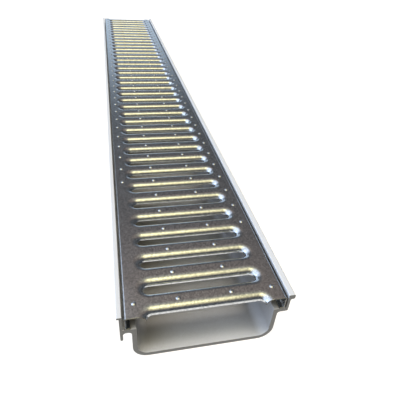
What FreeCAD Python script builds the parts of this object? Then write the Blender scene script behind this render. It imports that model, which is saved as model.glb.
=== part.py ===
"""Channel drain: an extruded PVC trough with a pressed, galvanised steel grate lying in it.

Millimetres. X runs across the drain, Y along it and Z up. The drain stands on the trough's floor at z = 0,
and its bounding box is centred on x = 0 and y = 0.
"""

import FreeCAD, Part
import os
import re
import Sketcher

SIZES = {
    # The whole drain.
    "length": (1000, "length of the trough and of the grate"),
    "height": (48, "floor underside to rim top"),
    # The grate, one pressed sheet.
    "grate_width": (120, "over its two turned-down edges"),
    "grate_height": (12, "top face to the feet's underside"),
    "sheet": (1, "sheet thickness"),
    "edge_bend": (2, "outer radius of the sheet's long bends"),
    "foot_width": (4.4, "edge turned in under the grate to stand on the ledge"),
    "slot_pitch": (26.32, "slot to slot along the drain"),
    "slot_width": (8.2, "clear width of a slot"),
    "slot_margin": (10.5, "grate edge to where a slot's end starts to dish"),
    "slot_dish": (5.8, "how far the dished edge round a slot reaches"),
    "slot_flare": (0.6, "how much further the dish reaches than it sinks, so that it stays open upwards"),
    "dimple_width": (3.8, "across the flats of an anti-slip dimple's base"),
    "dimple_crown": (1.9, "across the flats of its top"),
    "dimple_rise": (0.8, "height of a dimple"),
    "dimple_setback": (0.8, "middle of a land to its row of dimples, towards the near end"),
    "dimple_spacing": (40.2, "between the two inner columns of dimples"),
    "dimple_margin": (8, "grate edge to an outer column of dimples"),
    "left_bare_rows": (5, "rows with no left dimple, beside a smooth patch"),
    "right_bare_rows": (2, "rows with no right dimple, beside a smooth patch"),
    # The trough, one extrusion.
    "grate_gap": (1, "clearance between the grate and a rim, each side"),
    "rim_stand": (2, "how far the rims stand above the grate"),
    "rim_thickness": (2, "thickness of a rim"),
    "ledge_width": (9.7, "rim to the trough's inner wall"),
    "ledge_thickness": (3.4, "thickness of the ledge that carries the grate"),
    "wall_thickness": (3.4, "thickness of the trough's side walls"),
    "floor_thickness": (3.4, "thickness of the trough's floor"),
    "corner_radius": (12, "outer radius between a wall and the floor"),
    "root_radius": (3, "fillet where a wall meets the ledge above it"),
    "left_lip_reach": (1.6, "overhang of the thin lip on the left rim"),
    "left_lip_thickness": (1.8, "thickness of that lip"),
    "right_lip_reach": (3.2, "overhang of the thick lip on the right rim"),
    "right_lip_thickness": (4.4, "thickness of that lip"),
    "anchor_thickness": (2, "thickness of the anchor leg under the left ledge"),
    "anchor_depth": (8, "ledge underside to the anchor leg's tip"),
    "lip_radius": (1.2, "rounding of the thick lip and of the corner below it"),
    "edge_radius": (0.6, "rounding of the extrusion's thinner edges"),
}

# Places that both pieces share, as formulas of the sizes.
GRATE_TOP = "height - rim_stand"
LEDGE_TOP = "height - rim_stand - grate_height"
LEDGE_UNDERSIDE = "height - rim_stand - grate_height - ledge_thickness"
RIM_INNER = "grate_width / 2 + grate_gap"
RIM_OUTER = "grate_width / 2 + grate_gap + rim_thickness"
WALL_INNER = "grate_width / 2 + grate_gap - ledge_width"
WALL_OUTER = "grate_width / 2 + grate_gap - ledge_width + wall_thickness"
NEAR_END = "-length / 2"

# The sheet round a slot sinks in an arc. These are the depth it sinks to, the arc's radius on the sheet's
# upper and lower face, and the turn from its start to its middle, which is half of the whole.
DISH_DEPTH = "(slot_dish - slot_flare)"
DISH_UPPER = f"((slot_dish ^ 2 + {DISH_DEPTH} ^ 2) / (2 * {DISH_DEPTH}))"
DISH_LOWER = f"({DISH_UPPER} - sheet)"
DISH_HALF_TURN = f"atan({DISH_DEPTH} / slot_dish)"

# A slot's round end is drawn with this many corners, between facets that touch the true arc from outside, and
# a dimple is a cone with this many sides, so that 39 slots and about 150 dimples stay light.
END_CORNERS = 6
DIMPLE_SIDES = 6

# A fillet takes at most this share of the thickness it rounds, so that it fits whatever the sizes are. The
# anchor leg's tip is nearly a full round.
ROUNDING_LIMIT = 0.4
TIP_ROUNDING = 0.45

document = FreeCAD.newDocument("channel_drain")


def make_sheet():
    """Write every driving size to the spreadsheet, with its name as the cell's alias."""
    sheet = document.addObject("Spreadsheet::Sheet", "Sizes")
    for row, (name, (value, note)) in enumerate(SIZES.items(), start=1):
        sheet.set(f"A{row}", name)
        sheet.set(f"B{row}", str(value))
        sheet.set(f"C{row}", note)
        sheet.setAlias(f"B{row}", name)
    document.recompute()


def bind(thing, place, formula):
    """Tie one property of an object to a formula that uses the sheet's names."""
    known = re.sub(r"[a-z_]+", lambda word: f"Sizes.{word[0]}" if word[0] in SIZES else word[0], formula)
    thing.setExpression(place, known)


def make_body(name):
    """Start a body whose bounding box will be centred on x = 0, although the two lips differ."""
    body = document.addObject("PartDesign::Body", name)
    body.Label = name
    bind(body, ".Placement.Base.x", "(left_lip_reach - right_lip_reach) / 2")
    return body


def origin_part(body, role):
    """A plane or an axis of the body's own origin, by its role."""
    return next(part for part in body.Origin.OriginFeatures if part.Role == role)


def make_sketch(body, name, plane, level="0"):
    """A sketch on one of the body's origin planes, lifted to a level above it."""
    sketch = body.newObject("Sketcher::SketchObject", name)
    sketch.AttachmentSupport = [(origin_part(body, plane), "")]
    sketch.MapMode = "FlatFace"
    bind(sketch, ".AttachmentOffset.Base.z", level)
    return sketch


def draw_outline(sketch, points):
    """Add a closed outline of straight lines, each corner held at its two formulas from the origin."""
    first = len(sketch.Geometry)
    count = len(points)
    for step in range(count):
        start = FreeCAD.Vector(step, step * step, 0)
        after = (step + 1) % count
        end = FreeCAD.Vector(after, after * after, 0)
        sketch.addGeometry(Part.LineSegment(start, end), False)
    for step, (across, up) in enumerate(points):
        line = first + step
        after = first + (step + 1) % count
        sketch.addConstraint(Sketcher.Constraint("Coincident", line, 2, after, 1))
        for kind, start, formula in (("DistanceX", step, across), ("DistanceY", step * step, up)):
            number = sketch.addConstraint(Sketcher.Constraint(kind, -1, 1, line, 1, start))
            bind(sketch, f"Constraints[{number}]", formula)


def corner_edges(base, sketch, corners):
    """Names of the base's edges that run along Y through the given corners of its section sketch."""
    document.recompute()
    places = [sketch.Geometry[corner].StartPoint for corner in corners]
    names = []
    for number, edge in enumerate(base.Shape.Edges, start=1):
        start = edge.Vertexes[0].Point
        end = edge.Vertexes[-1].Point
        if abs(end.y - start.y) < base.Shape.BoundBox.YLength / 2:
            continue
        if any(abs(start.x - place.x) + abs(start.z - place.y) < 1e-5 for place in places):
            names.append(f"Edge{number}")
    return names


def round_corners(body, base, sketch, corners, radius):
    """Fillet the long edges at some corners of the section, and return the feature."""
    fillet = body.newObject("PartDesign::Fillet", "round")
    fillet.Base = (base, corner_edges(base, sketch, corners))
    bind(fillet, "Radius", radius)
    body.Tip = fillet
    return fillet


def make_extrusion(body, sketch):
    """Pad a section drawn on the XZ plane to the drain's length, half to each side."""
    pad = body.newObject("PartDesign::Pad", "extrusion")
    pad.Profile = sketch
    pad.SideType = "Symmetric"
    bind(pad, "Length", "length")
    body.Tip = pad
    return pad


def make_trough():
    """The white extrusion: trough, two ledges, two rims with unlike lips, and an anchor leg on the left."""
    body = make_body("trough")
    section = make_sketch(body, "trough_section", "XZ_Plane")
    left_lip_edge = f"-({RIM_OUTER} + left_lip_reach)"
    right_lip_edge = f"{RIM_OUTER} + right_lip_reach"
    anchor_face = f"-({RIM_OUTER} - anchor_thickness)"
    anchor_tip = f"{LEDGE_UNDERSIDE} - anchor_depth"
    draw_outline(
        section,
        [
            (left_lip_edge, "height"),
            (f"-({RIM_INNER})", "height"),
            (f"-({RIM_INNER})", LEDGE_TOP),
            (f"-({WALL_INNER})", LEDGE_TOP),
            (f"-({WALL_INNER})", "floor_thickness"),
            (WALL_INNER, "floor_thickness"),
            (WALL_INNER, LEDGE_TOP),
            (RIM_INNER, LEDGE_TOP),
            (RIM_INNER, "height"),
            (right_lip_edge, "height"),
            (right_lip_edge, "height - right_lip_thickness"),
            (RIM_OUTER, "height - right_lip_thickness"),
            (RIM_OUTER, LEDGE_UNDERSIDE),
            (WALL_OUTER, LEDGE_UNDERSIDE),
            (WALL_OUTER, "0"),
            (f"-({WALL_OUTER})", "0"),
            (f"-({WALL_OUTER})", LEDGE_UNDERSIDE),
            (anchor_face, LEDGE_UNDERSIDE),
            (anchor_face, anchor_tip),
            (f"-({RIM_OUTER})", anchor_tip),
            (f"-({RIM_OUTER})", "height - left_lip_thickness"),
            (left_lip_edge, "height - left_lip_thickness"),
        ],
    )
    shape = make_extrusion(body, section)
    notch = "(ledge_width - wall_thickness + rim_thickness - anchor_thickness)"
    shape = round_corners(body, shape, section, (14, 15), "corner_radius")
    shape = round_corners(body, shape, section, (4, 5), "corner_radius - wall_thickness")
    shape = round_corners(body, shape, section, (13, 16, 17), f"min(root_radius; {notch} * {ROUNDING_LIMIT})")
    under_lip = f"min(root_radius; right_lip_reach) * {ROUNDING_LIMIT}"
    shape = round_corners(body, shape, section, (11,), under_lip)
    shape = round_corners(body, shape, section, (18, 19), f"anchor_thickness * {TIP_ROUNDING}")
    thick = f"min(lip_radius; right_lip_thickness * {ROUNDING_LIMIT})"
    shape = round_corners(body, shape, section, (9, 10, 12), thick)
    thin = f"min(edge_radius; left_lip_thickness * {ROUNDING_LIMIT})"
    shape = round_corners(body, shape, section, (0, 21), thin)
    round_corners(body, shape, section, (1, 3, 6, 8), f"min(edge_radius; rim_thickness * {ROUNDING_LIMIT})")
    return body


def draw_stadium(sketch, outset):
    """A long slot's outline across the grate at its near end, set out from the clear opening by a formula."""
    centre = "(grate_width / 2 - slot_margin - slot_dish - slot_width / 2)"
    turn = 180 / END_CORNERS
    reach = f"(slot_width / 2 + {outset}) / cos({turn / 2})"
    points = []
    for side, start in ((1, -90), (-1, 90)):
        for corner in range(END_CORNERS):
            angle = start + turn * (corner + 0.5)
            across = f"{side} * {centre} + {reach} * cos({angle})"
            points.append((across, f"{NEAR_END} + {reach} * sin({angle})"))
    draw_outline(sketch, points)


def make_loft(body, kind, name, sections):
    """A ruled loft through slot outlines, each given by its depth below the grate's top and its outset."""
    sketches = []
    for number, (depth, outset) in enumerate(sections):
        sketch = make_sketch(body, f"{name}_{number}", "XY_Plane", f"{GRATE_TOP} - {depth}")
        draw_stadium(sketch, outset)
        sketches.append(sketch)
    document.recompute()
    loft = body.newObject(kind, name)
    loft.Profile = sketches[0]
    loft.Sections = sketches[1:]
    loft.Ruled = True
    body.Tip = loft
    return loft


def repeat(body, features, name, count):
    """Repeat some features along the drain, one slot pitch apart."""
    document.recompute()
    pattern = body.newObject("PartDesign::LinearPattern", name)
    pattern.Originals = features
    pattern.Direction = (origin_part(body, "Y_Axis"), [""])
    pattern.Mode = "Spacing"
    pattern.Refine = False
    bind(pattern, "Offset", "slot_pitch")
    bind(pattern, "Occurrences", count)
    body.Tip = pattern
    return pattern


def dish_point(radius, half_turns):
    """A point of the dish's section: its depth below the grate's top and its outset from the opening."""
    turn = f"({half_turns} * {DISH_HALF_TURN})"
    return f"({DISH_UPPER} - {radius} * cos({turn}))", f"(slot_dish - {radius} * sin({turn}))"


def press_slot(body):
    """The slot at the near end, the sheet dished down all round it. Half of it lies past the end."""
    under_side = [dish_point(DISH_LOWER, half_turns) for half_turns in (0, 1, 2)]
    upper_side = [dish_point(DISH_UPPER, half_turns) for half_turns in (0, 1, 2)]
    bottom = under_side[-1][0]
    dish = make_loft(body, "PartDesign::AdditiveLoft", "dished_edge", under_side)
    mouth = make_loft(body, "PartDesign::SubtractiveLoft", "slot_mouth", upper_side + [(bottom, "0")])
    return [dish, mouth]


def press_dimples(body, name, columns, row):
    """Small raised dimples on the land that follows one slot, one with sloping sides in each column."""
    sketch = make_sketch(body, f"{name}_outline", "XY_Plane", GRATE_TOP)
    reach = f"dimple_width / 2 / cos({180 / DIMPLE_SIDES})"
    along = f"{NEAR_END} + ({row} + 0.5) * slot_pitch - dimple_setback"
    for column in columns:
        points = []
        for corner in range(DIMPLE_SIDES):
            turn = 360 / DIMPLE_SIDES * corner
            points.append((f"{column} + {reach} * cos({turn})", f"{along} + {reach} * sin({turn})"))
        draw_outline(sketch, points)
    document.recompute()
    pad = body.newObject("PartDesign::Pad", name)
    pad.Profile = sketch
    bind(pad, "Length", "dimple_rise")
    bind(pad, "TaperAngle", "-atan((dimple_width - dimple_crown) / 2 / dimple_rise)")
    body.Tip = pad
    return pad


def shear_ends(body):
    """Cut the grate square at both ends of the drain."""
    sketch = make_sketch(body, "shear_outline", "XY_Plane")
    for side in (-1, 1):
        near = f"{side} * length / 2"
        far = f"{side} * (length / 2 + slot_pitch)"
        draw_outline(
            sketch,
            [("-grate_width", near), ("grate_width", near), ("grate_width", far), ("-grate_width", far)],
        )
    document.recompute()
    cut = body.newObject("PartDesign::Pocket", "sheared_ends")
    cut.Profile = sketch
    cut.SideType = "Symmetric"
    cut.Type = "ThroughAll"
    cut.Refine = False
    body.Tip = cut


def make_grate():
    """The steel grate: a sheet bent down along both edges, turned in at its feet, with pressed slots."""
    body = make_body("grate")
    section = make_sketch(body, "grate_section", "XZ_Plane")
    outer = "grate_width / 2"
    inner = "(grate_width / 2 - sheet)"
    toe = "(grate_width / 2 - foot_width)"
    draw_outline(
        section,
        [
            (f"-{outer}", GRATE_TOP),
            (outer, GRATE_TOP),
            (outer, LEDGE_TOP),
            (toe, LEDGE_TOP),
            (toe, f"{LEDGE_TOP} + sheet"),
            (inner, f"{LEDGE_TOP} + sheet"),
            (inner, f"{GRATE_TOP} - sheet"),
            (f"-{inner}", f"{GRATE_TOP} - sheet"),
            (f"-{inner}", f"{LEDGE_TOP} + sheet"),
            (f"-{toe}", f"{LEDGE_TOP} + sheet"),
            (f"-{toe}", LEDGE_TOP),
            (f"-{outer}", LEDGE_TOP),
        ],
    )
    shape = make_extrusion(body, section)
    shape = round_corners(body, shape, section, (0, 1, 2, 11), "edge_bend")
    round_corners(body, shape, section, (5, 6, 7, 8), "edge_bend - sheet")
    left = "-(grate_width / 2 - dimple_margin)"
    right = "(grate_width / 2 - dimple_margin)"
    press_dimples(body, "outer_first", (left, right), "0")
    inner_pair = press_dimples(body, "inner_pair", ("dimple_spacing / 2", "-dimple_spacing / 2"), "0")
    left_dimple = press_dimples(body, "left_dimple", (left,), "1 + left_bare_rows")
    right_dimple = press_dimples(body, "right_dimple", (right,), "1 + right_bare_rows")
    slot = press_slot(body)
    rows = "floor(length / slot_pitch + 0.5)"
    repeat(body, [inner_pair], "inner_rows", rows)
    repeat(body, [left_dimple], "left_rows", f"{rows} - 1 - left_bare_rows")
    repeat(body, [right_dimple], "right_rows", f"{rows} - 1 - right_bare_rows")
    repeat(body, slot, "slots", f"{rows} + 1")
    shear_ends(body)
    return body


def check(bodies):
    """Stop if anything in the document failed, or if a piece isn't one valid solid."""
    document.recompute()
    failed = [thing.Name for thing in document.Objects if {"Invalid", "Error"} & set(thing.State)]
    if failed:
        raise RuntimeError(f"these objects failed: {failed}")
    for body in bodies:
        shape = body.Shape
        if shape.isNull() or not shape.isValid() or len(shape.Solids) != 1:
            raise RuntimeError(f"{body.Label} is not one valid solid")


make_sheet()
pieces = [make_trough(), make_grate()]
check(pieces)
os.makedirs("parts", exist_ok=True)
for piece in pieces:
    piece.Shape.exportStep(f"parts/{piece.Label}.step")
    box = piece.Shape.BoundBox
    print(f"{piece.Label}: {box.XLength:.2f} x {box.YLength:.2f} x {box.ZLength:.2f} mm, "
          f"{piece.Shape.Volume / 1000:.1f} cm3, {len(piece.Shape.Faces)} faces")
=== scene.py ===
# %% [markdown]
# # A channel drain, dressed in Blender
#
# The drain is two pieces: a white trough, extruded in PVC, and a steel grate that lies in it. The grate is
# pressed from one sheet and hot-dip galvanised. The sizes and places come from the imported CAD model, which
# is loaded first and never moved. Everything here is in metres.

import bmesh
import bpy
import math
from mathutils import Matrix, Vector


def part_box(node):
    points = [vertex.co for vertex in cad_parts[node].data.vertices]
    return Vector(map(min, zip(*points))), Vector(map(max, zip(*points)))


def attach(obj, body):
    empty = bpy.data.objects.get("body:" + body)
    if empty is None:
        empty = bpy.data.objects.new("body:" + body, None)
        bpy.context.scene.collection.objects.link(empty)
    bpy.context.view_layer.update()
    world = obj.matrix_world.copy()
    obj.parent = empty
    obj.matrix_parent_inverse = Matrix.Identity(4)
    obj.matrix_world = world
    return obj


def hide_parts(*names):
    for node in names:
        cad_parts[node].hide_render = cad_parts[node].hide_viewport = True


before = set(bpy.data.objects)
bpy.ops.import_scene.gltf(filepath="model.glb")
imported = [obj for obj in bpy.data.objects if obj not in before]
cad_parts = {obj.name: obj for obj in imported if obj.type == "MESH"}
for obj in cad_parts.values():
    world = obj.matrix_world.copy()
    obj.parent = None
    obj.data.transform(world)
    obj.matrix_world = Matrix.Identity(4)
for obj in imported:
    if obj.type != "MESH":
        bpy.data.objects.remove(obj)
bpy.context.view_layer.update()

# %% [markdown]
# Colours are written as sRGB hex, which is how a paint chart gives them, but Blender's shaders count light.
# One function turns them to linear, so that no colour is worked out by hand.

# %% Turn a hex colour to linear light
MM = 0.001


def linear(hex_colour):
    """An sRGB colour such as "8a9299" as linear red, green, blue and alpha."""
    channels = []
    for start in (0, 2, 4):
        value = int(hex_colour[start:start + 2], 16) / 255
        channels.append(value / 12.92 if value <= 0.04045 else ((value + 0.055) / 1.055) ** 2.4)
    return (*channels, 1.0)


print("zinc grey in linear light:", [round(channel, 3) for channel in linear("b4b9bd")])

# %% [markdown]
# Every material, and the sky too, is a tree of shader nodes. Such a tree can be drawn by hand in the shader
# editor, but written out it can be read and repeated. One function adds any kind of node with its settings
# and links, and another starts a material with nothing in it but the Principled shader.


# %% Add nodes and start materials
def add_node(tree, kind, inputs=None, **settings):
    """Add a node, set its properties, and give each named or numbered input a value or a link."""
    node = tree.nodes.new(kind)
    for name, value in settings.items():
        setattr(node, name, value)
    for name, value in (inputs or {}).items():
        if isinstance(value, bpy.types.NodeSocket):
            tree.links.new(value, node.inputs[name])
        else:
            node.inputs[name].default_value = value
    return node


def new_material(name):
    """An empty material with its node tree, its Principled shader already joined to the output."""
    material = bpy.data.materials.new(name)
    material.use_nodes = True
    tree = material.node_tree
    tree.nodes.clear()
    shader = add_node(tree, "ShaderNodeBsdfPrincipled")
    add_node(tree, "ShaderNodeOutputMaterial", {"Surface": shader.outputs["BSDF"]})
    return material, tree, shader


# A Mix node has sockets for each kind of value. These are the ones that a mix of colours uses.
MIX_SHARE, MIX_FIRST, MIX_SECOND, MIXED = 0, 6, 7, 2
print("sockets of a mix of colours:", MIX_SHARE, MIX_FIRST, MIX_SECOND, "and", MIXED)

# %% [markdown]
# ## The camera
#
# The drain is looked down on from over its near end, a little left of its middle, with a slightly wide
# lens. A camera can track an empty, but then it can't roll freely. So it is placed from the near end of the
# grate, and turned by three angles: to the right, down, and round its own line of sight.

# %% Find the near end of the grate
GRATE_LOW, GRATE_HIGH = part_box("grate")
DIMPLE_RISE = 0.8 * MM
GRATE_TOP = GRATE_HIGH.z - DIMPLE_RISE
MIDDLE = (GRATE_LOW.x + GRATE_HIGH.x) / 2
near_end = Vector((MIDDLE, GRATE_LOW.y, GRATE_TOP))
print("near end of the grate at", [round(value, 4) for value in near_end])

# %% [markdown]
# A product of three rotation matrices says where the camera looks, one for each turn, in the order of the
# joints on a tripod's head. Three Euler angles would do the same, but their order is easily mixed up. The
# lens is given in millimetres for a sensor 36 mm wide.

# %% Place the camera over it
camera_data = bpy.data.cameras.new("camera")
camera_data.lens = 34.15
camera_data.sensor_width = 36
camera_data.clip_start = 0.01
camera = bpy.data.objects.new("camera", camera_data)
bpy.context.scene.collection.objects.link(camera)
bpy.context.scene.camera = camera

from_near_end = Vector((-56.65, -165.6, 217.7)) * MM
turn_right = math.radians(14.76)
tip_down = math.radians(35.52)
roll = math.radians(4.52)
camera.matrix_world = (
    Matrix.Translation(near_end + from_near_end)
    @ Matrix.Rotation(-turn_right, 4, "Z")
    @ Matrix.Rotation(math.radians(90) - tip_down, 4, "X")
    @ Matrix.Rotation(roll, 4, "Z")
)
print("camera at", [round(value, 3) for value in camera.matrix_world.translation])

# %% [markdown]
# ## The sky
#
# Bright zinc has hardly a colour of its own. It shows what is round it, so the sky does as much for the
# grate as its material. A panorama picture would do, but a ramp over the height says the same in eight
# greys: dark by the horizon, slate low down, then warmer and paler up to straight overhead.

# %% Make the sky
scene = bpy.context.scene
scene.view_settings.view_transform = "Standard"

world = bpy.data.worlds.new("studio sky")
scene.world = world
world.use_nodes = True
sky = world.node_tree
sky.nodes.clear()
# Each place is the sine of a height: 0 at the horizon, 1 straight overhead.
SKY_BANDS = [
    (0.00, "44443f"),
    (0.26, "60656b"),
    (0.42, "5e6063"),
    (0.64, "6c6868"),
    (0.77, "948780"),
    (0.87, "9e988f"),
    (0.94, "b0ac9f"),
    (1.00, "c6c2b0"),
]
direction = add_node(sky, "ShaderNodeTexCoord")
split = add_node(sky, "ShaderNodeSeparateXYZ", {"Vector": direction.outputs["Generated"]})
bands = add_node(sky, "ShaderNodeValToRGB", {"Fac": split.outputs["Z"]})
ramp = bands.color_ramp
while len(ramp.elements) < len(SKY_BANDS):
    ramp.elements.new(0.5)
for element, (place, colour) in zip(ramp.elements, SKY_BANDS):
    element.position = place
    element.color = linear(colour)
print("sky bands:", len(ramp.elements))

# %% [markdown]
# The soft lights stand in that sky as round glows with faded edges, like big lamps behind cloth. Real lamps
# would do too, but they are near, and each slot of a metre of drain would mirror them elsewhere on its edge.
# A glow in the sky is far off, so every slot shows much the same bright line.


# %% Hang soft glows in the sky
def towards(azimuth, elevation):
    """The direction of a compass turn to the right of straight ahead and a height above the horizon."""
    turn = math.radians(azimuth)
    rise = math.radians(elevation)
    return Vector((math.sin(turn) * math.cos(rise), math.cos(turn) * math.cos(rise), math.sin(rise)))


def add_glow(under, azimuth, elevation, inner, outer, colour, gain):
    """Add a soft round patch of light to the sky. It is even inside one angle and gone outside the other."""
    dot = add_node(sky, "ShaderNodeVectorMath", {
        0: direction.outputs["Generated"],
        1: towards(azimuth, elevation),
    }, operation="DOT_PRODUCT")
    edge = add_node(sky, "ShaderNodeMapRange", {
        "Value": dot.outputs["Value"],
        "From Min": math.cos(math.radians(outer)),
        "From Max": math.cos(math.radians(inner)),
    }, interpolation_type="SMOOTHSTEP")
    bright = [channel * gain for channel in linear(colour)]
    total = add_node(sky, "ShaderNodeMix", {
        MIX_SHARE: edge.outputs["Result"],
        MIX_FIRST: under,
        MIX_SECOND: bright,
    }, data_type="RGBA", blend_type="ADD")
    return total.outputs[MIXED]


# Azimuth, elevation, inner and outer angle in degrees, then colour and gain. Straight ahead is along the
# drain, away from its near end.
GLOWS = [
    # High up and a little behind: the cream line on each rolled edge that faces the near end.
    (180, 72, 12, 34, "fff3b4", 0.85),
    # The bright middle of that line.
    (174, 76, 3, 16, "fff0ac", 1.4),
    # Wide and pale blue, from the left: the glints at the slots' right ends and on the dimples, and the
    # daylight on the plastic.
    (-84, 28, 22, 66, "d6e6fd", 1.7),
    # The same light lower down, by the horizon.
    (-72, 2, 12, 40, "c6dbfa", 1.4),
    # Small and low, straight ahead: the blue sheen on the far lands, and a thin line where each land starts
    # to roll away.
    (2, 5, 4, 16, "d2e8ff", 1.0),
]
sky_colour = bands.outputs["Color"]
for glow in GLOWS:
    sky_colour = add_glow(sky_colour, *glow)
light = add_node(sky, "ShaderNodeBackground", {"Color": sky_colour, "Strength": 1.0})
add_node(sky, "ShaderNodeOutputWorld", {"Surface": light.outputs["Background"]})
print("glows in the sky:", len(GLOWS))

# %% [markdown]
# ## The ceiling lamp
#
# One soft lamp hangs under the ceiling, over the near end. It gives the drain its shadow and lights the
# plastic from above. A sun would do, but its shadow has a hard edge. Glossy rays don't see the lamp: the
# glows already draw every bright line on the steel, and a square white patch among them would look wrong.

# %% Hang the ceiling lamp
LAMP_SIDE = 0.6
LAMP_PLACE = Vector((0.24, -0.62, 2.25))
LAMP_AIM = Vector((0, -0.3, 0))
lamp_data = bpy.data.lights.new("ceiling_lamp", "AREA")
lamp_data.shape = "RECTANGLE"
lamp_data.size = LAMP_SIDE
lamp_data.size_y = LAMP_SIDE
lamp_data.energy = 17
lamp_data.color = linear("fff5e6")[:3]
ceiling_lamp = bpy.data.objects.new("ceiling_lamp", lamp_data)
ceiling_lamp.location = LAMP_PLACE
ceiling_lamp.rotation_euler = (LAMP_AIM - LAMP_PLACE).to_track_quat("-Z", "Y").to_euler()
ceiling_lamp.visible_glossy = False
scene.collection.objects.link(ceiling_lamp)
print("ceiling lamp, watts:", lamp_data.energy)

# %% [markdown]
# ## The floor
#
# The drain lies on a wide sheet of studio paper. Paper that was really white would throw its light back up
# into the trough and under the rims. So the paper's own colour is a grey brown, and it shines white only
# for rays that come from the camera, a mirroring surface or glass. The drain's shadow still falls on it.

# %% Lay the floor
FLOOR_SIDE = 12
half = FLOOR_SIDE / 2
floor_mesh = bpy.data.meshes.new("floor")
corners = [(-half, -half, 0), (half, -half, 0), (half, half, 0), (-half, half, 0)]
floor_mesh.from_pydata(corners, [], [(0, 1, 2, 3)])
floor = bpy.data.objects.new("floor", floor_mesh)
scene.collection.objects.link(floor)
print("floor side in metres:", FLOOR_SIDE)

# %% [markdown]
# The paper is matt, so it takes a high roughness and mirrors nothing. The Light Path node tells what kind of
# ray has met it. More lamps could make it white too, but they would wash out the drain.

# %% Make the paper white to the eye
PAPER_SHINE = 0.94
paper, tree, shader = new_material("white studio paper")
shader.inputs["Base Color"].default_value = linear("857c6c")
shader.inputs["Roughness"].default_value = 0.9
shader.inputs["Emission Color"].default_value = linear("ffffff")
rays = add_node(tree, "ShaderNodeLightPath")
mirrored = add_node(tree, "ShaderNodeMath", {
    0: rays.outputs["Is Glossy Ray"],
    1: rays.outputs["Is Transmission Ray"],
}, operation="MAXIMUM")
seen = add_node(tree, "ShaderNodeMath", {
    0: rays.outputs["Is Camera Ray"],
    1: mirrored.outputs[0],
}, operation="MAXIMUM")
shine = add_node(tree, "ShaderNodeMath", {0: seen.outputs[0], 1: PAPER_SHINE}, operation="MULTIPLY")
tree.links.new(shine.outputs[0], shader.inputs["Emission Strength"])
floor_mesh.materials.append(paper)
print("floor material:", paper.name)

# %% [markdown]
# ## Extruded PVC
#
# The trough is white rigid PVC, pushed through a steel die. The die leaves a satin skin with faint lines
# along the whole length. The lines could be modelled, but they are only hundredths of a millimetre deep. A
# noise that is stretched along the drain moves the roughness and the bump instead.

# %% Draw the die's lines on the PVC
pvc, tree, shader = new_material("extruded white PVC")
shader.inputs["IOR"].default_value = 1.53
# Real die lines are finer than this. They are drawn as coarse as they need to be to show.
DIE_LINE = 1.6 * MM
LINE_DEPTH = 0.05 * MM
CHANGES_PER_METRE = 1.5
place = add_node(tree, "ShaderNodeTexCoord")
stretch = add_node(tree, "ShaderNodeMapping", {
    "Vector": place.outputs["Object"],
    "Scale": (1 / DIE_LINE, CHANGES_PER_METRE, 1 / DIE_LINE),
})
lines = add_node(tree, "ShaderNodeTexNoise", {
    "Vector": stretch.outputs["Vector"],
    "Scale": 1.0,
    "Detail": 3.0,
})
rough = add_node(tree, "ShaderNodeMapRange", {"Value": lines.outputs["Fac"], "To Min": 0.26, "To Max": 0.42})
tree.links.new(rough.outputs["Result"], shader.inputs["Roughness"])
bump = add_node(tree, "ShaderNodeBump", {
    "Height": lines.outputs["Fac"],
    "Strength": 0.25,
    "Distance": LINE_DEPTH,
})
tree.links.new(bump.outputs["Normal"], shader.inputs["Normal"])
print("die lines in mm:", round(DIE_LINE / MM, 2))

# %% [markdown]
# Inside the drain, painted shade darkens the plastic where the walls and the grate close in on it and less
# light gets in.
# It could be painted by hand, but ambient occlusion finds those places by itself: it measures how open each
# spot is. Two masks keep the painted shade off the rims and the outer walls.

# %% Find where the PVC gets painted shade
# How far the ambient occlusion looks when it places the painted shade.
SHADE_REACH = 70 * MM
CLOSED = 0.1
OPEN = 0.72
closed_in = add_node(tree, "ShaderNodeAmbientOcclusion", {"Distance": SHADE_REACH}, samples=8)
ao_openness = add_node(tree, "ShaderNodeMapRange", {
    "Value": closed_in.outputs["AO"],
    "From Min": CLOSED,
    "From Max": OPEN,
})

# Past this distance from the middle plane there are only rims, their lips and the leg.
RIM_STARTS = 60.8 * MM
where = add_node(tree, "ShaderNodeSeparateXYZ", {"Vector": place.outputs["Object"]})
off_middle = add_node(tree, "ShaderNodeMath", {0: where.outputs["X"]}, operation="ABSOLUTE")
on_rim = add_node(tree, "ShaderNodeMath", {0: off_middle.outputs[0], 1: RIM_STARTS}, operation="GREATER_THAN")

# A wall's outer face looks away from the middle, so its place and its direction have the same sign.
LEAST_OUTWARD = 2 * MM
geometry = add_node(tree, "ShaderNodeNewGeometry")
facing = add_node(tree, "ShaderNodeSeparateXYZ", {"Vector": geometry.outputs["True Normal"]})
outward = add_node(tree, "ShaderNodeMath", {
    0: where.outputs["X"],
    1: facing.outputs["X"],
}, operation="MULTIPLY")
outer_wall = add_node(tree, "ShaderNodeMath", {
    0: outward.outputs[0],
    1: LEAST_OUTWARD,
}, operation="GREATER_THAN")
outside = add_node(tree, "ShaderNodeMath", {
    0: on_rim.outputs[0],
    1: outer_wall.outputs[0],
}, operation="MAXIMUM")
# Where this is 1 the plastic keeps its own white. Elsewhere painted shade darkens it.
free = add_node(tree, "ShaderNodeMath", {
    0: ao_openness.outputs["Result"],
    1: outside.outputs[0],
}, operation="MAXIMUM")
# This prints the reach of the painted shade.
print("the dust looks this far in mm:", round(SHADE_REACH / MM))
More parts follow.
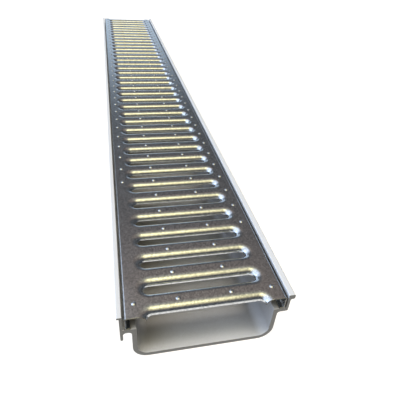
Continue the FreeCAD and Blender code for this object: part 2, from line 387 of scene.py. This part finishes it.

# %% [markdown]
# A saw cuts the extrusion to length. Its ends are painted a mid grey as painted shade, because they look
# along the drain, where little light comes from. The ends could be given a material of their own, but no
# other face of an extrusion looks along its length, so the direction that a face looks in is enough to tell
# them.

# %% Colour the PVC, with painted shade inside and on its saw-cut ends
# The white is the plastic's own colour. The dark khaki is painted shade for the inside of the trough.
WHITE_PVC = linear("dcdfe6")
SHADE_INSIDE_PVC = linear("6e6656")
# The mid grey is painted shade on the saw-cut ends.
END_SHADE_PVC = linear("8c8d8e")
LEAST_END_ON = 0.9
skin_colour = add_node(tree, "ShaderNodeMix", {
    MIX_SHARE: free.outputs[0],
    MIX_FIRST: SHADE_INSIDE_PVC,
    MIX_SECOND: WHITE_PVC,
}, data_type="RGBA")
end_on = add_node(tree, "ShaderNodeMath", {0: facing.outputs["Y"]}, operation="ABSOLUTE")
is_end = add_node(tree, "ShaderNodeMath", {0: end_on.outputs[0], 1: LEAST_END_ON}, operation="GREATER_THAN")
tint = add_node(tree, "ShaderNodeMix", {
    MIX_SHARE: is_end.outputs[0],
    MIX_FIRST: skin_colour.outputs[MIXED],
    MIX_SECOND: END_SHADE_PVC,
}, data_type="RGBA")
tree.links.new(tint.outputs[MIXED], shader.inputs["Base Color"])

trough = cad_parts["trough"]
trough.data.materials.clear()
trough.data.materials.append(pvc)
print("trough material:", trough.data.materials[0].name)

# %% [markdown]
# ## Galvanised steel
#
# The grate is dipped in molten zinc after it is pressed. The zinc freezes into small crystals, each of which
# turns the light a little differently, so the metal looks finely mottled. A Voronoi texture has just such
# cells. A broad noise adds the waves that the zinc leaves where it runs off.

# %% Mix the zinc
zinc, tree, shader = new_material("hot-dip galvanised steel")
shader.inputs["Metallic"].default_value = 1.0
SPANGLE = 1.1 * MM
RUN_OFF = 18 * MM
place = add_node(tree, "ShaderNodeTexCoord")
crystals = add_node(tree, "ShaderNodeTexVoronoi", {
    "Vector": place.outputs["Object"],
    "Scale": 1 / SPANGLE,
    "Randomness": 1.0,
})
clouds = add_node(tree, "ShaderNodeTexNoise", {
    "Vector": place.outputs["Object"],
    "Scale": 1 / RUN_OFF,
    "Detail": 4.0,
})
grey = add_node(tree, "ShaderNodeValToRGB", {"Fac": crystals.outputs["Color"]})
grey.color_ramp.elements[0].color = linear("aeb2b5")
grey.color_ramp.elements[1].color = linear("dee1e4")
tree.links.new(grey.outputs["Color"], shader.inputs["Base Color"])
rough = add_node(tree, "ShaderNodeMapRange", {"Value": clouds.outputs["Fac"], "To Min": 0.17, "To Max": 0.25})
tree.links.new(rough.outputs["Result"], shader.inputs["Roughness"])
print("zinc crystals in mm:", round(SPANGLE / MM, 2))

# %% [markdown]
# The crystals stand out from each other by a hundredth of a millimetre at most, and the waves rise by a tenth
# or so. Both are too shallow to model, so two Bump nodes in a row tip the surface's direction.

# %% Give the zinc its relief
SPANGLE_RELIEF = 0.01 * MM
RUN_OFF_RELIEF = 0.15 * MM
bump = add_node(tree, "ShaderNodeBump", {
    "Height": crystals.outputs["Color"],
    "Strength": 0.24,
    "Distance": SPANGLE_RELIEF,
})
waves = add_node(tree, "ShaderNodeBump", {
    "Height": clouds.outputs["Fac"],
    "Strength": 0.3,
    "Distance": RUN_OFF_RELIEF,
    "Normal": bump.outputs["Normal"],
})
tree.links.new(waves.outputs["Normal"], shader.inputs["Normal"])
print("relief of the waves in mm:", round(RUN_OFF_RELIEF / MM, 2))

# %% [markdown]
# Where the press has sheared the sheet, its cut edge is rougher and darker than its faces. It could be
# picked out face by face, but the Solidify modifier that thickens the sheet can give its rim a second
# material by itself.

# %% Mix the sheared edge
edge_steel, tree, shader = new_material("sheared steel edge")
shader.inputs["Metallic"].default_value = 1.0
shader.inputs["Base Color"].default_value = linear("64625d")
shader.inputs["Roughness"].default_value = 0.5
print("second material of the grate:", edge_steel.name)

# %% [markdown]
# ## The grate
#
# A press pushes the sheet down all round each slot, so that its edge rolls over by nearly a quarter turn. In
# Blender such a sheet is easiest to draw as a skin with no thickness, and a Solidify modifier then gives it
# its millimetre of steel. The skin is drawn land by land: a land is the flat between two slots.

# %% Measure the grate
LENGTH = GRATE_HIGH.y - GRATE_LOW.y
HALF_WIDTH = (GRATE_HIGH.x - GRATE_LOW.x) / 2
GRATE_HEIGHT = GRATE_TOP - GRATE_LOW.z
NOMINAL_PITCH = 26.32 * MM
LANDS = round(LENGTH / NOMINAL_PITCH)
PITCH = LENGTH / LANDS
print("lands:", LANDS, "pitch in mm:", round(PITCH / MM, 3))

# %% [markdown]
# A slot is a long hole with round ends, and its rolled edge is one outline after another, each further out
# than the last. A Boolean could cut the hole, but it leaves no even rows of faces to roll over. So one
# function draws half of such an outline, at any distance from the hole, and a land takes a half on each side.

# %% Draw the outline of half a slot
SLOT_WIDTH = 8.2 * MM
SLOT_MARGIN = 10.0 * MM
SLOT_DISH = 6.3 * MM
SLOT_STRAIGHT = HALF_WIDTH - SLOT_MARGIN - SLOT_DISH - SLOT_WIDTH / 2
ARC_STEPS = 10


def half_slot(outset, centre, side):
    """Half of a slot's outline, from its left tip to its right one, on the side of its centre line given."""
    radius = SLOT_WIDTH / 2 + outset
    points = []
    for end, first in ((-1, math.pi), (1, math.pi / 2)):
        for step in range(ARC_STEPS + 1):
            angle = first - math.pi / 2 * step / ARC_STEPS
            across = MIDDLE + end * SLOT_STRAIGHT + radius * math.cos(angle)
            points.append((across, centre + side * radius * math.sin(angle)))
    return points


print("length of a slot's hole in mm:", round((2 * SLOT_STRAIGHT + SLOT_WIDTH) / MM, 2))

# %% [markdown]
# The rolled edge isn't a plain quarter circle. Thin sheet leans over gently at first and then turns hard, so
# its section is a quarter of an ellipse, wider than it is deep, that stops just short of upright. A Bevel
# modifier could round the hole too, but the outlines have to end on the flat, so they are worked out here.

# %% Work out the rolled edge's section
SLOT_DROP = 5.3 * MM
LEAD_IN = 0.08 * MM
DISH_STEPS = 12
LAST_TURN = math.radians(87)
roll_section = [(SLOT_DISH + LEAD_IN, 0.0)]
for step in range(DISH_STEPS + 1):
    angle = LAST_TURN * step / DISH_STEPS
    roll_section.append((SLOT_DISH * (1 - math.sin(angle)), -SLOT_DROP * (1 - math.cos(angle))))
print("lowest point of the roll in mm:", round(roll_section[-1][1] / MM, 2))

# %% [markdown]
# The long edges are bent twice: down from the flat, then in again to make the foot that stands on the ledge.
# A curve object could be swept along them, but a list of points goes straight into the same skin. Both bends
# are quarter circles, because a folding press bends the sheet round a bar.

# %% Work out the long edge's section, from the flat to the foot's toe
EDGE_BEND = 2.0 * MM
FOOT = 4.4 * MM
BEND_STEPS = 5
edge_section = []
for step in range(BEND_STEPS + 1):
    angle = math.pi / 2 * step / BEND_STEPS
    edge_section.append((HALF_WIDTH - EDGE_BEND * (1 - math.sin(angle)), -EDGE_BEND * (1 - math.cos(angle))))
for step in range(BEND_STEPS + 1):
    angle = math.pi / 2 * step / BEND_STEPS
    edge_section.append(
        (HALF_WIDTH - EDGE_BEND * (1 - math.cos(angle)), -GRATE_HEIGHT + EDGE_BEND * (1 - math.sin(angle)))
    )
edge_section.append((HALF_WIDTH - FOOT, -GRATE_HEIGHT))
print("points in the long edge's section:", len(edge_section))

# %% [markdown]
# A dimple is a low dome, pushed up from below so that a foot doesn't slip. It could be a bump in the
# material, but then it would have no outline against the light. Its rings start on the flat, so that the
# land round it stays flat. A few lands by the near end are smooth on one side, with no outer dimple there.

# %% Work out a dimple's section and where the dimples are
# Radius and rise of each ring, in millimetres.
DIMPLE_SECTION = [(1.9, 0.0), (1.75, 0.14), (1.5, 0.34), (1.2, 0.52), (0.8, 0.68), (0.4, 0.77)]
DIMPLE_STEPS = 14
DIMPLE_SETBACK = 0.8 * MM
DIMPLE_MARGIN = 8 * MM
INNER_COLUMN = 20.1 * MM
OUTER_COLUMN = HALF_WIDTH - DIMPLE_MARGIN
# Lands that are smooth on one side, counted from the first one at the near end, which is 0.
LEFT_BARE = range(1, 6)
RIGHT_BARE = range(1, 3)


def dimple_columns(land):
    """Where the dimples of one land are, across the grate."""
    columns = [-INNER_COLUMN, INNER_COLUMN]
    if land not in LEFT_BARE:
        columns.append(-OUTER_COLUMN)
    if land not in RIGHT_BARE:
        columns.append(OUTER_COLUMN)
    return columns


print("dimples:", sum(len(dimple_columns(land)) for land in range(LANDS)))

# %% [markdown]
# Each bent surface is a grid: a row of points for every step of a section, and quads between one row and the
# next. Blender can extrude an edge to the same end, but a grid written out keeps every point where the
# section puts it. Faces on one side are turned round, so that they all look out of the steel.

# %% Draw a land's rolled edges and its long edges
EDGE_STEPS = 3


def join_rows(bm, rows, flip=False):
    """Quads between each row of points and the next."""
    for upper, lower in zip(rows, rows[1:]):
        for step in range(len(upper) - 1):
            corners = [upper[step], lower[step], lower[step + 1], upper[step + 1]]
            bm.faces.new(corners[::-1] if flip else corners)


def draw_slot_side(bm, centre, side):
    """The rolled edge along one side of a slot. Returns the points where it meets the land."""
    rows = []
    for outset, drop in roll_section:
        rows.append([bm.verts.new((x, y, GRATE_TOP + drop)) for x, y in half_slot(outset, centre, side)])
    join_rows(bm, rows, flip=side < 0)
    return rows[0]


def draw_long_edge(bm, start, end, side):
    """The bent edge and foot beside one land. Returns the points where it meets the land, near end first."""
    rows = []
    for across, drop in edge_section:
        row = []
        for step in range(EDGE_STEPS + 1):
            along = start + (end - start) * step / EDGE_STEPS
            row.append(bm.verts.new((MIDDLE + side * across, along, GRATE_TOP + drop)))
        rows.append(row)
    join_rows(bm, rows, flip=side < 0)
    return rows[0]


print("rows down a rolled edge:", len(roll_section), "and down a long edge:", len(edge_section))

# %% [markdown]
# The dome is drawn in the same way, but its rows close into rings, and a fan of triangles makes the crown. A
# squashed sphere would be quicker, but its rim would have to be cut to fit the flat.


# %% Draw a dimple
def draw_dimple(bm, across, along):
    """A low dome. Returns its outermost ring."""
    rings = []
    for radius, rise in DIMPLE_SECTION:
        ring = []
        for step in range(DIMPLE_STEPS):
            angle = 2 * math.pi * step / DIMPLE_STEPS
            x = MIDDLE + across + radius * MM * math.cos(angle)
            y = along + radius * MM * math.sin(angle)
            ring.append(bm.verts.new((x, y, GRATE_TOP + rise * MM)))
        rings.append(ring)
    for outer, inner in zip(rings, rings[1:]):
        for step in range(DIMPLE_STEPS):
            after = (step + 1) % DIMPLE_STEPS
            bm.faces.new([outer[step], outer[after], inner[after], inner[step]])
    crown = bm.verts.new((MIDDLE + across, along, GRATE_HIGH.z))
    for step in range(DIMPLE_STEPS):
        bm.faces.new([rings[-1][step], rings[-1][(step + 1) % DIMPLE_STEPS], crown])
    return rings[0]


print("rings in a dimple:", len(DIMPLE_SECTION))

# %% [markdown]
# What is left of a land is its flat, between two slots and two long edges, with a hole for each dimple. Its
# faces could be laid by hand, but Blender fills a flat area and leaves its holes open by itself. The
# triangles that it draws lie in one plane, so they don't show.


# %% Draw one land
def fill_flat(bm, loops):
    """Fill the flat between its outline and the rings in it, every face looking up."""
    edges = []
    for loop in loops:
        for first, second in zip(loop, loop[1:] + loop[:1]):
            edges.append(bm.edges.get((first, second)) or bm.edges.new((first, second)))
    flat = bmesh.ops.triangle_fill(bm, edges=edges, use_beauty=True, use_dissolve=False, normal=(0, 0, 1))
    for face in flat["geom"]:
        if isinstance(face, bmesh.types.BMFace) and face.normal.z < 0:
            face.normal_flip()


def draw_land(bm, land):
    """One land, with half a slot's edge on each side, its two long edges and its dimples."""
    start = GRATE_LOW.y + land * PITCH
    end = start + PITCH
    near = draw_slot_side(bm, start, 1)
    far = draw_slot_side(bm, end, -1)
    left = draw_long_edge(bm, start, end, -1)
    right = draw_long_edge(bm, start, end, 1)
    loops = [near + right + far[::-1] + left[::-1]]
    for across in dimple_columns(land):
        loops.append(draw_dimple(bm, across, (start + end) / 2 - DIMPLE_SETBACK))
    fill_flat(bm, loops)


print("the first land starts at, in mm:", round(GRATE_LOW.y / MM, 1))

# %% [markdown]
# All the lands go into one mesh, because the real grate is one sheet. An Array modifier could repeat a land,
# but not all lands have the same dimples. Neighbours end in the same points, so these are merged. The sheet
# gets its thickness downwards, which leaves its top face where the CAD model has it.

# %% Join the lands into one sheet
SHEET = 1.0 * MM
SAME_POINT = 0.001 * MM
bm = bmesh.new()
for land in range(LANDS):
    draw_land(bm, land)
bmesh.ops.remove_doubles(bm, verts=bm.verts, dist=SAME_POINT)
bm.normal_update()
skin = bpy.data.meshes.new("grate_sheet")
bm.to_mesh(skin)
bm.free()
skin.materials.append(zinc)
skin.materials.append(edge_steel)
grate = bpy.data.objects.new("grate_sheet", skin)
scene.collection.objects.link(grate)
thickness = grate.modifiers.new("sheet thickness", "SOLIDIFY")
thickness.thickness = SHEET
thickness.offset = -1
thickness.use_even_offset = True
thickness.material_offset_rim = 1
print("faces in the skin:", len(skin.polygons))

# %% [markdown]
# A sheared edge is never razor sharp: it is a little round, and so it catches a thin line of light. The
# Bevel modifier rounds it. Then the sheet is smoothed, all but its sharp edges, and weighted normals let its
# big flats keep their own direction, or every dimple would leave a smudge beside it. Each step is made final
# before the next, because the normals depend on the edges that are marked sharp.

# %% Round the edges and smooth the sheet
EDGE_ROUNDING = 0.22 * MM
EDGE_SEGMENTS = 3
SHEARED_ANGLE = math.radians(60)
SHARP_ANGLE = math.radians(38)


def apply_modifiers(piece):
    """Make what the piece's modifiers show its own mesh, and take the modifiers off."""
    graph = bpy.context.evaluated_depsgraph_get()
    mesh = bpy.data.meshes.new_from_object(piece.evaluated_get(graph))
    piece.modifiers.clear()
    piece.data = mesh
    return mesh


def finish_mesh(piece):
    """Round a piece's edges, smooth all but its sharp ones, and let its flats keep their own direction."""
    edges = piece.modifiers.new("rounded edges", "BEVEL")
    edges.width = EDGE_ROUNDING
    edges.segments = EDGE_SEGMENTS
    edges.limit_method = "ANGLE"
    edges.angle_limit = SHEARED_ANGLE
    mesh = apply_modifiers(piece)
    mesh.shade_smooth()
    mesh.set_sharp_from_angle(angle=SHARP_ANGLE)
    even = piece.modifiers.new("even shading", "WEIGHTED_NORMAL")
    even.mode = "FACE_AREA"
    even.keep_sharp = True
    return apply_modifiers(piece)


finished = finish_mesh(grate)
print("grate triangles:", sum(len(face.vertices) - 2 for face in finished.polygons))

# %% [markdown]
# The new sheet takes the place of the plainer grate of the CAD model. It could be drawn over it, but the two
# would flicker through each other. It rides on the same body, so it goes wherever the drain goes.

# %% Put the sheet in the grate's place
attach(grate, "root")
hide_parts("grate")
print("in the grate's place:", grate.name)
